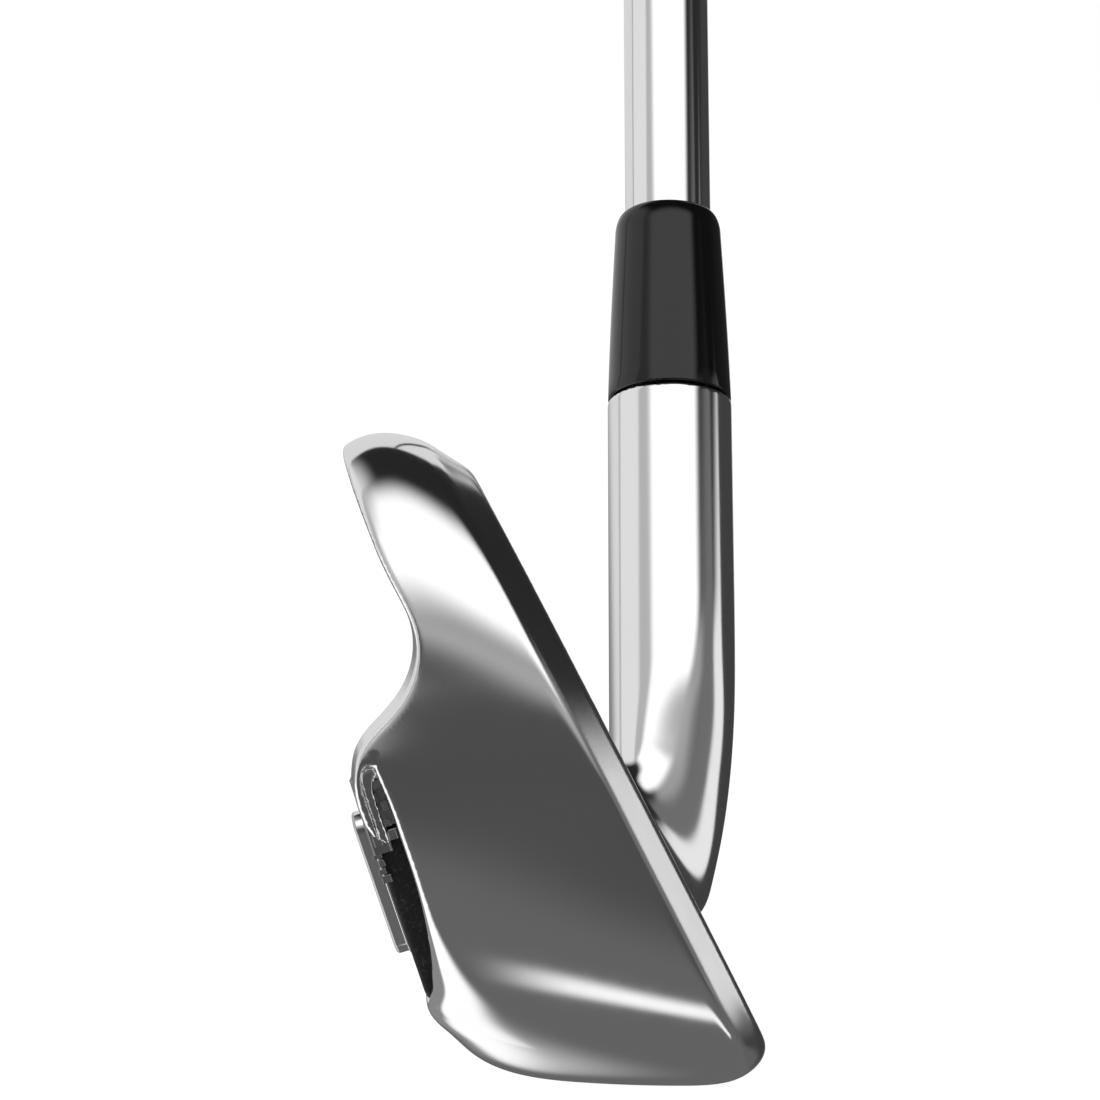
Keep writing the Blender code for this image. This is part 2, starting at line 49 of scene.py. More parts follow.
# ------------------------------------------------------------------ dimensions
LIE, LOFT, FACE_X = radians(63.5), radians(29.7), 2.4
CLUB_LENGTH, HOSEL_TOP, HOSEL_R = 940.0, 58.7, 6.7
BORE_R, BORE_FLOOR = 5.5, 30.7
TOE_Y, TOE_CY, TOE_CZ = -72.0, -56.5, 28.0
TOE_TOP_Z, TOE_BOTTOM_Z, TOE_POWER = 56.8, 0.4, 2.6
TOPLINE_SLOPE, TOPLINE_EASE = 0.74, 8.0
SOLE_CAMBER_R, SOLE_LOW_Y = 600.0, -30.0
REAR_TAPER, UPPER_TAPER, HEEL_TAPER, LIP_FALL, TAPER_Y = 0.07, 0.04, 0.0045, 0.22, -66.0
REAR_ANGLE, REAR_YAW = radians(20.4), radians(7.2)
REAR_POINT = np.array((-29.2, -40.0, 16.0))
FACE_PLATE_T, FACE_INSET = 2.2, 4.5
SCORE_PITCH, SCORE_COUNT = 3.7, 11
SHAFT_TIP_D, SHAFT_BUTT_D = 9.4, 15.24
FIRST_STEP_S, STEP_PITCH, STEP_COUNT = 250.0, 32.0, 13
FERRULE_TOP_D, FERRULE_LENGTH = 11.6, 21.6
GRIP_MOUTH_S, GRIP_MOUTH_D, GRIP_BUTT_D, GRIP_CAP_T = 672.0, 19.6, 26.8, 4.0

AXIS = np.array((0.0, cos(LIE), sin(LIE)))
HEEL_OUT = np.array((0.0, sin(LIE), -cos(LIE)))     # across the hosel, away from the toe
FACE_N = np.array((cos(LOFT), 0.0, sin(LOFT)))
FACE_UP = np.array((-sin(LOFT), 0.0, cos(LOFT)))
_cy, _sy = cos(-REAR_YAW), sin(-REAR_YAW)
_turn = np.array(((_cy, -_sy, 0), (_sy, _cy, 0), (0, 0, 1.0)))
REAR_N = _turn @ np.array((-cos(REAR_ANGLE), 0.0, -sin(REAR_ANGLE)))
REAR_UP = _turn @ np.array((-sin(REAR_ANGLE), 0.0, cos(REAR_ANGLE)))
REAR_ALONG = _turn @ np.array((0.0, 1.0, 0.0))

# Rear of the toe wall, (height, depth): thin blade, waist, lip and shelf.
TOE_REAR = [
    (62.0, -44.2), (58.0, -42.2), (53.8, -40.0), (51.0, -38.6), (48.1, -37.1), (45.1, -35.5), (42.2, -33.9),
    (39.7, -33.4), (36.9, -33.9), (34.7, -35.1), (32.6, -36.5), (31.2, -36.9), (29.9, -36.6), (28.0, -35.7),
    (25.7, -34.7), (22.1, -33.3), (19.0, -32.2), (16.4, -31.5), (13.7, -30.9), (10.8, -30.4),
    (7.0, -29.5), (4.0, -28.6), (0.0, -27.2), (-4.0, -25.5),
]


# ------------------------------------------------------------------ materials
def tree_material(name, metallic, roughness, colour, coat=0.0, coat_rough=0.03, specular=None, ior=None):
    mat = bpy.data.materials.new(name)
    mat.use_nodes = True
    bsdf = mat.node_tree.nodes["Principled BSDF"]
    bsdf.inputs["Metallic"].default_value = metallic
    bsdf.inputs["Roughness"].default_value = roughness
    bsdf.inputs["Base Color"].default_value = (*colour, 1.0)
    bsdf.inputs["Coat Weight"].default_value = coat
    bsdf.inputs["Coat Roughness"].default_value = coat_rough
    if ior:
        bsdf.inputs["IOR"].default_value = ior
    return mat, mat.node_tree, bsdf


def node(tree, kind, **values):
    made = tree.nodes.new(kind)
    for key, value in values.items():
        if key.startswith("in_"):
            slot = key[3:]
            slot = int(slot) if slot.isdigit() else slot.replace("_", " ")
            made.inputs[slot].default_value = value
        else:
            setattr(made, key, value)
    return made


def coords(tree, scale=(1, 1, 1)):
    """Object coordinates in millimetres."""
    source = node(tree, "ShaderNodeTexCoord")
    mapping = node(tree, "ShaderNodeMapping")
    mapping.inputs["Scale"].default_value = tuple(1000.0 * s for s in scale)
    tree.links.new(source.outputs["Object"], mapping.inputs["Vector"])
    return mapping.outputs["Vector"]


def noise(tree, vector, scale, detail=3.0, rough=0.5):
    made = node(tree, "ShaderNodeTexNoise")
    made.inputs["Scale"].default_value = scale
    made.inputs["Detail"].default_value = detail
    made.inputs["Roughness"].default_value = rough
    tree.links.new(vector, made.inputs["Vector"])
    return made.outputs["Fac"]


def ramp(tree, factor, low, high, start=0.0, end=1.0):
    made = node(tree, "ShaderNodeMapRange")
    made.inputs["From Min"].default_value = start
    made.inputs["From Max"].default_value = end
    made.inputs["To Min"].default_value = low
    made.inputs["To Max"].default_value = high
    tree.links.new(factor, made.inputs["Value"])
    return made.outputs["Result"]


def tint(tree, factor, dark, light):
    made = node(tree, "ShaderNodeMix", data_type="RGBA")
    made.inputs[6].default_value = (*dark, 1)
    made.inputs[7].default_value = (*light, 1)
    tree.links.new(factor, made.inputs[0])
    return made.outputs[2]


def bump(tree, bsdf, height, strength, distance):
    made = node(tree, "ShaderNodeBump")
    made.inputs["Strength"].default_value = strength
    made.inputs["Distance"].default_value = distance * MM
    tree.links.new(height, made.inputs["Height"])
    tree.links.new(made.outputs["Normal"], bsdf.inputs["Normal"])
    return made


def metal(name, light, dark, rough_low, rough_high, grain=0.0, grain_scale=3.0, stretch=(1, 1, 1)):
    """Plated or blasted metal: slow tonal drift, uneven polish and a fine grain."""
    mat, tree, bsdf = tree_material(name, 1.0, rough_low, light)
    at = coords(tree, stretch)
    slow = noise(tree, at, 0.05, 2.0)
    tree.links.new(tint(tree, slow, dark, light), bsdf.inputs["Base Color"])
    fine = noise(tree, at, 0.35, 4.0, 0.6)
    tree.links.new(ramp(tree, fine, rough_low, rough_high, 0.3, 0.7), bsdf.inputs["Roughness"])
    if grain:
        bump(tree, bsdf, noise(tree, at, grain_scale, 3.0, 0.6), grain, 0.02)
    return mat


# ------------------------------------------------------------------ mesh tools
def new_object(name, verts, faces, mats, normals=None, smooth_angle=None, ids=None):
    mesh = bpy.data.meshes.new(name)
    mesh.from_pydata([tuple(v) for v in np.asarray(verts, float) * MM], [], [tuple(int(i) for i in f) for f in faces])
    mesh.update()
    for mat in mats:
        mesh.materials.append(mat)
    if ids is not None:
        mesh.polygons.foreach_set("material_index", np.asarray(ids, np.int32))
    mesh.shade_smooth()
    if smooth_angle:
        mesh.set_sharp_from_angle(angle=radians(smooth_angle))
    if normals is not None:
        mesh.normals_split_custom_set_from_vertices([tuple(n) for n in normals])
    obj = bpy.data.objects.new(name, mesh)
    bpy.context.scene.collection.objects.link(obj)
    return obj


def outward(obj):
    bm = bmesh.new()
    bm.from_mesh(obj.data)
    bmesh.ops.recalc_face_normals(bm, faces=bm.faces)
    bm.to_mesh(obj.data)
    bm.free()
    return obj


def place(obj, node_names):
    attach(obj, "root")
    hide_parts(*node_names)
    return obj


def lathe(name, profile, mats, sides=128, smooth_angle=40, bands=None, radius_of=None):
    """Closed (s, r) profile turned round the shaft axis. bands gives a material
    index for each profile segment; radius_of(s, r, angle) may shape the surface."""
    across = np.array((1.0, 0.0, 0.0))
    back = np.cross(AXIS, across)
    verts, loops = [], []
    for s, r in profile:
        if r <= 0:
            loops.append([len(verts)])
            verts.append(AXIS * s)
            continue
        loop = []
        for i in range(sides):
            a = 2 * pi * i / sides
            rr = radius_of(s, r, a) if radius_of else r
            loop.append(len(verts))
            verts.append(AXIS * s + (across * cos(a) + back * sin(a)) * rr)
        loops.append(loop)
    pairs = list(zip(loops, loops[1:]))
    if profile[0][1] > 0 and profile[-1][1] > 0:
        pairs.append((loops[-1], loops[0]))
    faces, ids = [], []
    for k, (low, high) in enumerate(pairs):
        for i in range(sides):
            j = (i + 1) % sides
            corners = []
            for v in (low[i % len(low)], low[j % len(low)], high[j % len(high)], high[i % len(high)]):
                if v not in corners:
                    corners.append(v)
            if len(corners) > 2:
                faces.append(corners)
                ids.append(bands[k] if bands and k < len(bands) else 0)
    return outward(new_object(name, verts, faces, mats, smooth_angle=smooth_angle, ids=ids))


def arc(s, r, radius, start, end, steps=6):
    """Points of a rounded corner centred on (s, r), angles from +s towards +r."""
    return [(s + radius * cos(radians(start + (end - start) * i / steps)),
             r + radius * sin(radians(start + (end - start) * i / steps))) for i in range(steps + 1)]


def rounded(corners, steps=8):
    """Dense outline of a polygon whose corners carry their own radius."""
    points, count = [], len(corners)
    for i in range(count):
        p = np.array(corners[i][:2], float)
        r = corners[i][2]
        a = np.array(corners[i - 1][:2], float) - p
        b = np.array(corners[(i + 1) % count][:2], float) - p
        a, b = a / np.linalg.norm(a), b / np.linalg.norm(b)
        half = np.arccos(np.clip(a @ b, -1, 1)) / 2
        start, end = p + a * r / tan(half), p + b * r / tan(half)
        mid = a + b
        centre = p + mid / np.linalg.norm(mid) * (r / sin(half))
        for k in range(steps + 1):
            d = (start - centre) * (1 - k / steps) + (end - centre) * k / steps
            points.append(tuple(centre + d / np.linalg.norm(d) * r))
    return points


def shrink(outline, amount):
    """Moves each point of a dense outline inwards."""
    pts = np.array(outline, float)
    area = np.sum(np.roll(pts[:, 0], 1) * pts[:, 1] - pts[:, 0] * np.roll(pts[:, 1], 1))
    edge = np.roll(pts, -1, 0) - np.roll(pts, 1, 0)
    edge /= np.maximum(np.linalg.norm(edge, axis=1, keepdims=True), 1e-9)
    inward = np.stack([-edge[:, 1], edge[:, 0]], 1) * (1 if area > 0 else -1)
    return pts + inward * amount


def plate(name, outline, origin, axes, low, high, mats, edge=0.3, foot=0.0, steps=4, dome=None, top_mat=0, side_mat=0):
    """A flat piece with rounded top edges. Its outline lies in axes[0], axes[1]
    and it rises along axes[2] from low to high."""
    ua, va, wa = axes
    rings = [(foot, low)] if foot else [(0.0, low)]
    rings.append((0.0, low + foot))
    for k in range(steps + 1):
        a = pi / 2 * k / steps
        rings.append((edge * (1 - cos(a)), high - edge + edge * sin(a)))
    verts, loops = [], []
    for inset, level in rings:
        loop = []
        for u, v in shrink(outline, inset):
            lift = dome(u, v) if dome and level > low + foot + 1e-6 else 0.0
            loop.append(len(verts))
            verts.append(origin + ua * u + va * v + wa * (level + lift))
        loops.append(loop)
    faces, ids = [], []
    count = len(outline)
    for k, (a, b) in enumerate(zip(loops, loops[1:])):
        for i in range(count):
            j = (i + 1) % count
            faces.append((a[i], a[j], b[j], b[i]))
            ids.append(side_mat if k < 2 else top_mat)
    faces.append(loops[0][::-1])
    ids.append(side_mat)
    faces.append(loops[-1])
    ids.append(top_mat)
    return outward(new_object(name, verts, faces, mats, smooth_angle=30, ids=ids))


# ------------------------------------------------------------------- the field
def smax(a, b, k):
    """Smooth maximum with continuous curvature. k is the width of the blend."""
    h = np.maximum(k - np.abs(a - b), 0.0) / k
    return np.maximum(a, b) + h * h * h * (k / 6.0)


def smin(a, b, k):
    return -smax(-a, -b, k)


def step(t):
    t = np.clip(t, 0.0, 1.0)
    return t * t * t * (t * (6 * t - 15) + 10)


def spline_table(table, low, high, count=4000):
    """Natural cubic through (key, value) pairs, sampled evenly for fast lookup."""
    pts = sorted(table)
    x = np.array([p[0] for p in pts], float)
    y = np.array([p[1] for p in pts], float)
    n = len(x)
    h = np.diff(x)
    A = np.zeros((n, n))
    rhs = np.zeros(n)
    A[0, 0] = A[-1, -1] = 1
    for i in range(1, n - 1):
        A[i, i - 1], A[i, i], A[i, i + 1] = h[i - 1], 2 * (h[i - 1] + h[i]), h[i]
        rhs[i] = 6 * ((y[i + 1] - y[i]) / h[i] - (y[i] - y[i - 1]) / h[i - 1])
    m = np.linalg.solve(A, rhs)
    q = np.linspace(low, high, count)
    i = np.clip(np.searchsorted(x, q) - 1, 0, n - 2)
    t = q - x[i]
    s = (y[i + 1] - y[i]) / h[i] - h[i] * (2 * m[i] + m[i + 1]) / 6
    value = y[i] + s * t + m[i] / 2 * t**2 + (m[i + 1] - m[i]) / (6 * h[i]) * t**3
    # a light blur takes out the ripple that the knots leave
    kernel = np.hanning(int(count * 2.6 / (high - low)) | 1)
    kernel /= kernel.sum()
    pad = len(kernel) // 2
    wide = np.concatenate([value[0] + (value[1] - value[0]) * np.arange(-pad, 0), value,
                           value[-1] + (value[-1] - value[-2]) * np.arange(1, pad + 1)])
    return q, np.convolve(wide, kernel, "valid")


# Curvature of the toe wall across its thickness, by height.
WALL_CURVE = [(-4.0, 0.010), (1.5, 0.010), (8.0, 0.016), (14.0, 0.0195), (30.0, 0.024), (36.0, 0.035),
              (42.0, 0.055), (48.0, 0.09), (53.0, 0.14), (57.0, 0.19), (60.0, 0.19)]
# How far the lip stands out behind the toe wall, by height.
LIP_SWELL = [(22.0, 0.0), (22.8, 0.5), (24.0, 2.3), (25.0, 2.7), (26.5, 2.75), (27.5, 2.6), (28.4, 2.3),
             (29.4, 1.8), (30.4, 1.3), (31.5, 0.8), (32.6, 0.45), (33.8, 0.18), (35.5, 0.0)]
REAR_Q, REAR_V = spline_table(TOE_REAR, -4.0, 62.0)
CURVE_V = np.convolve(np.pad(np.interp(REAR_Q, *zip(*WALL_CURVE)), 120, "edge"), np.hanning(241) / np.hanning(241).sum(), "valid")
REAR_STEP = REAR_Q[1] - REAR_Q[0]
REAR_D = np.gradient(REAR_V, REAR_STEP)


def lookup(table, z):
    t = np.clip((z - REAR_Q[0]) / REAR_STEP, 0, len(REAR_Q) - 1.001)
    i = t.astype(np.int32)
    f = t - i
    return table[i] * (1 - f) + table[i + 1] * f


def outline_field(y, z):
    """Signed distance, near enough, to the blade's outline seen along X."""
    u = np.maximum(TOE_CY - y, 0.0) / (TOE_CY - TOE_Y)
    up = z > TOE_CZ
    b = np.where(up, TOE_TOP_Z - TOE_CZ, TOE_CZ - TOE_BOTTOM_Z)
    n = np.where(up, 2.0, TOE_POWER)
    v = np.abs(z - TOE_CZ) / b
    un, vn = u**n, v**n
    r = np.maximum(un + vn, 1e-9) ** (1 / n)
    gu = u ** (n - 1) / (TOE_CY - TOE_Y)
    gv = v ** (n - 1) / b
    slope = np.maximum(np.sqrt(gu * gu + gv * gv) * r ** (1 - n), 0.012)
    toe = (r - 1) / slope
    e = y - TOE_CY
    root = np.sqrt(e * e + TOPLINE_EASE**2)
    top_slope = TOPLINE_SLOPE * e / root
    top = (z - (TOE_TOP_Z - TOPLINE_SLOPE * (root - TOPLINE_EASE))) / np.sqrt(1 + top_slope**2)
    camber = (y - SOLE_LOW_Y) ** 2 / (2 * SOLE_CAMBER_R) * TOE_BOTTOM_Z / 0.585
    bottom = camber - z
    return np.where(y < TOE_CY, toe, smax(top, bottom, 4.0))


def rear_field(x, y, z):
    """Distance behind the blade's rear surface."""
    along = np.maximum(y - TAPER_Y, 0.0)
    up = np.clip((50.0 - z) / 14.0, 0, 1) * np.clip((z - 5.0) / 12.0, 0, 1)
    up = up * up * (3 - 2 * up)
    zz = z + LIP_FALL * along * up
    thin = step((zz - 31.0) / 12.0)
    xr = lookup(REAR_V, zz) + (REAR_TAPER + UPPER_TAPER * thin) * along
    xr = xr + HEEL_TAPER * np.maximum(y + 40.0, 0.0) ** 2 + 0.024 * np.maximum(y + 22.0, 0.0) ** 2
    slope = np.sqrt(1 + np.clip(lookup(REAR_D, zz), -2.5, 2.5) ** 2)
    # a low rim under the insert
    xr = xr - 1.1 * np.exp(-(((z - 7.2) / 2.0) ** 2)) * step((y + 71.5) / 4.0) * (1 - step((y + 30.0) / 20.0))
    plain = (xr - x) / slope
    # the lip over the insert, which swells out of the toe wall
    swell = np.interp(zz, *zip(*LIP_SWELL)) * (1 - step((y + 30.0) / 16.0))
    outer = (xr - swell - x) / slope
    # its toe end: an opening with two narrow terraces round it
    d = smax(-(x - (-36.6 + 0.376 * (28.0 - z))) * 0.936, z - 29.4, 3.0)
    gone = smax(d - 1.4, y + 70.9, 0.3)
    gone = smin(gone, smax(d - 0.7, y + 69.9, 0.3), 0.3)
    gone = smin(gone, smax(d, y + 60.3, 0.3), 0.3)
    rim = smax(outer, -gone, 0.4)
    return smin(plain, rim, 0.25)


def polygon_field(corners, px, py, radius):
    """Signed distance to a convex or concave polygon, rounded by radius."""
    n = len(corners)
    best = np.full(px.shape, 1e9)
    sign = np.ones(px.shape)
    for i in range(n):
        ax, ay = corners[i]
        bx, by = corners[i - 1]
        ex, ey = bx - ax, by - ay
        wx, wy = px - ax, py - ay
        t = np.clip((wx * ex + wy * ey) / (ex * ex + ey * ey), 0, 1)
        dx, dy = wx - ex * t, wy - ey * t
        best = np.minimum(best, dx * dx + dy * dy)
        c1, c2, c3 = py >= ay, py < by, ex * wy > ey * wx
        flip = (c1 & c2 & c3) | (~c1 & ~c2 & ~c3)
        sign = np.where(flip, -sign, sign)
    return sign * np.sqrt(best) - radius


CAVITY_CORE = [(-57.2, 49.8), (-58.6, 44.2), (-57.4, 42.4), (-28.5, 34.4), (-28.0, 35.6), (-52.6, 50.4)]
CAVITY_R = 2.6
INSERT_CORE = [(-24.2, 9.8), (-22.4, -6.6), (22.6, -6.6), (23.8, -3.2)]
INSERT_R = 1.3
HOSEL_END, HOSEL_NOSE = 19.5, 17.5


def rear_axes(x, y, z):
    px, py, pz = x - REAR_POINT[0], y - REAR_POINT[1], z - REAR_POINT[2]
    return (px * REAR_ALONG[0] + py * REAR_ALONG[1],
            px * REAR_UP[0] + py * REAR_UP[1] + pz * REAR_UP[2],
            px * REAR_N[0] + py * REAR_N[1] + pz * REAR_N[2])


def wall_field(x, y, z, w):
    """The blade's outline, crowned across its thickness."""
    middle = -5.0 - 6.0 * (1 - step((z - 20.0) / 20.0))
    t = smin(w, -2.1, 1.5) - middle
    return outline_field(y, z) + lookup(CURVE_V, z) * t * t / 2 - 0.25 * (1 - step((z - 38.0) / 16.0))


def insert_field(x, y, z):
    """Moulded insert: a slab with a skirt that follows the head's rear."""
    along, up, n = rear_axes(x, y, z)
    edge = polygon_field(INSERT_CORE, along, up, INSERT_R)
    slab = smax(smax(edge, n - 1.2, 0.9), -(n + 0.6), 0.3)
    skirt = smax(smax(edge, -1.5 - edge, 0.4), n - 0.2, 0.2)
    skirt = smax(skirt, -(rear_field(x, y, z) + 0.55), 0.3)
    return np.minimum(slab, skirt)


NECK_TURN = (48.0, 40.0)      # the neck's front is turned this far to the target, at its foot and its top
NECK_R = 13.0                 # and rounded to this radius


def head_field(x, y, z):
    w = (x - FACE_X) * FACE_N[0] + z * FACE_N[2]
    wall = wall_field(x, y, z, w)
    rear = rear_field(x, y, z)
    # rear fillet of the wall, wide at the sole and fine at the top
    k_rear = 0.85 + 9.5 * (1 - step((z + 1.5) / 23.0))
    body = smax(wall, rear, k_rear)
    # heel end of the blade
    heel = y * HEEL_OUT[1] + z * HEEL_OUT[2] - 5.6
    body = smax(body, heel, 20.0)
    # front: chamfer round the outline, then the face plane
    chamfer = (wall + w + 2.35) * 0.7071
    low = 1 - step((z - 1.0) / 7.0)
    body = smax(body, chamfer + 0.4 * low, 0.7 + 3.2 * low)
    body = smax(body, w, 0.7 + 2.2 * low)
    # neck and hosel
    s = y * AXIS[1] + z * AXIS[2]
    q = y * HEEL_OUT[1] + z * HEEL_OUT[2]
    ra = np.sqrt(x * x + q * q + 1e-9)
    nose = np.maximum(HOSEL_END - s, 0.0) / HOSEL_NOSE
    reach = np.sqrt((ra / HOSEL_R) ** 2 + nose**2)
    hosel = (reach - 1) / np.sqrt(((ra / HOSEL_R**2) ** 2 + (nose / HOSEL_NOSE) ** 2)) * reach
    # the neck's front, a rounded facet that leans back less than the hosel
    turn = np.radians(NECK_TURN[0] + (NECK_TURN[1] - NECK_TURN[0]) * step((z - 10.0) / 16.0))
    back = y - 7.4 + 0.19 * (24.0 - z)
    facet = np.hypot(x - 4.5 + NECK_R * np.sin(turn), back - NECK_R * np.cos(turn)) - NECK_R
    hosel = smax(hosel, facet, 2.2)
    body = smin(body, hosel, 9.0 - 5.0 * step((z - 12.0) / 16.0))
    body = smax(body, s - HOSEL_TOP, 0.5)
    body = smax(body, -np.maximum(ra - BORE_R, BORE_FLOOR - s), 0.25)
    # rear cavity, parallel to the face
    h = x * FACE_UP[0] + z * FACE_UP[2] - FACE_X * FACE_UP[0]
    cavity = smax(polygon_field(CAVITY_CORE, y, h, CAVITY_R) + 0.12 * (w + 4.6), w + 4.6, 2.4)
    body = smax(body, -cavity, 1.3)
    # shelf recess for the insert
    along, up, n = rear_axes(x, y, z)
    pocket = smax(polygon_field(INSERT_CORE, along, up, INSERT_R + 0.2), -np.maximum(n + 1.5, rear + 0.8), 0.3)
    body = smax(body, -pocket, 0.4)
    # recess for the face plate
    seat = np.maximum(face_outline_field(y, h), -(w + FACE_PLATE_T + 0.1))
    return smax(body, -seat, 0.18)


def face_outline_field(y, h):
    """Outline of the plate's seat in the face plane, negative inside."""
    z = h * cos(LOFT)
    ring = outline_field(y, z) + FACE_INSET + 0.2
    low = 9.1 - z
    return smax(smax(ring, low, 3.0), y + 13.0, 2.0)


def surface(field, low, high, size, refine=3):
    """Surface nets over a box, then a few Newton steps on to the true surface.
    Returns vertices, quads and unit normals."""
    low, high = np.array(low, float), np.array(high, float)
    counts = np.ceil((high - low) / size).astype(int) + 1
    xs, ys, zs = (low[i] + size * np.arange(counts[i]) for i in range(3))
    values = np.empty(counts, np.float32)
    chunk = 12
    for j in range(0, counts[1], chunk):
        Y = ys[j:j + chunk]
        gx, gy, gz = np.meshgrid(xs, Y, zs, indexing="ij")
        values[:, j:j + chunk, :] = field(gx, gy, gz)
    inside = values < 0
    total = np.zeros(tuple(counts - 1), np.int8)
    for dx in (0, 1):
        for dy in (0, 1):
            for dz in (0, 1):
                total += inside[dx:counts[0] - 1 + dx, dy:counts[1] - 1 + dy, dz:counts[2] - 1 + dz]
    active = (total > 0) & (total < 8)
    cells = np.argwhere(active)
    index = np.full(active.shape, -1, np.int64)
    index[active] = np.arange(len(cells))
    corner = [(a, b, c) for a in (0, 1) for b in (0, 1) for c in (0, 1)]
    v = np.stack([values[cells[:, 0] + a, cells[:, 1] + b, cells[:, 2] + c] for a, b, c in corner], 1)
    hits, where = np.zeros(len(cells)), np.zeros((len(cells), 3))
    for i in range(8):
        for j in range(i + 1, 8):
            d = np.abs(np.array(corner[i]) - np.array(corner[j]))
            if d.sum() != 1:
                continue
            cross = (v[:, i] < 0) != (v[:, j] < 0)
            t = np.where(cross, v[:, i] / np.where(cross, v[:, i] - v[:, j], 1), 0)
            p = np.array(corner[i])[None] + t[:, None] * (np.array(corner[j]) - np.array(corner[i]))[None]
            where += np.where(cross[:, None], p, 0)
            hits += cross
    verts = low + size * (cells + where / hits[:, None])
    quads = []
    for axis in range(3):
        a = [slice(None)] * 3
        b = [slice(None)] * 3
        a[axis], b[axis] = slice(0, -1), slice(1, None)
        one, two = inside[tuple(a)], inside[tuple(b)]
        for first in (True, False):
            edge = np.argwhere((one == first) & (two != first))
            o1, o2 = [(1, 2), (2, 0), (0, 1)][axis]
            edge = edge[(edge[:, o1] > 0) & (edge[:, o2] > 0)
                        & (edge[:, o1] < active.shape[o1]) & (edge[:, o2] < active.shape[o2])]
            ring = []
            for s1, s2 in ((0, 0), (-1, 0), (-1, -1), (0, -1)):
                e = edge.copy()
                e[:, o1] += s1
                e[:, o2] += s2
                ring.append(index[e[:, 0], e[:, 1], e[:, 2]])
            ring = np.stack(ring, 1)
            quads.append(ring if first else ring[:, ::-1])
    quads = np.concatenate(quads)
    eps = 0.02

    def gradient(p):
        g = np.empty_like(p)
        for i in range(3):
            d = np.zeros(3)
            d[i] = eps
            g[:, i] = (field(*(p + d).T) - field(*(p - d).T)) / (2 * eps)
        return g

    for _ in range(refine):
        g = gradient(verts)
        f = field(*verts.T)
        move = -f[:, None] * g / np.maximum((g * g).sum(1), 0.05)[:, None]
        length = np.linalg.norm(move, axis=1, keepdims=True)
        verts += move * np.minimum(1, 0.45 * size / np.maximum(length, 1e-9))
    g = gradient(verts)
    normals = g / np.maximum(np.linalg.norm(g, axis=1, keepdims=True), 1e-9)
    return verts, quads, normals


# ------------------------------------------------------------------ the camera
def make_camera():
    """Long lens, level with the hosel, looking from the toe towards the heel."""
    yaw, pitch, roll = radians(6.195), radians(7.535), radians(2.949)
    forward = Vector((sin(yaw) * cos(pitch), cos(yaw) * cos(pitch), -sin(pitch)))
    flat = Vector((cos(yaw), -sin(yaw), 0))
    over = Vector((sin(yaw) * sin(pitch), cos(yaw) * sin(pitch), cos(pitch)))
    right = flat * cos(roll) + over * sin(roll)
    up = right.cross(forward)
    data = bpy.data.cameras.new("camera")
    data.sensor_width = 36.0
    data.lens = 4000.0 * 36.0 / 1100.0
    data.clip_start, data.clip_end = 0.01, 50.0
    camera = bpy.data.objects.new("camera", data)
    matrix = Matrix((right, up, -forward)).transposed().to_4x4()
    matrix.translation = Vector((-58.5, -400.65, 92.94)) * MM
    camera.matrix_world = matrix
    bpy.context.scene.collection.objects.link(camera)
    bpy.context.scene.camera = camera


# ------------------------------------------------------------------- the studio
def lin(tone):
    """Display tone to linear radiance."""
    return ((tone + 0.055) / 1.055) ** 2.4 if tone > 0.04 else tone / 12.92


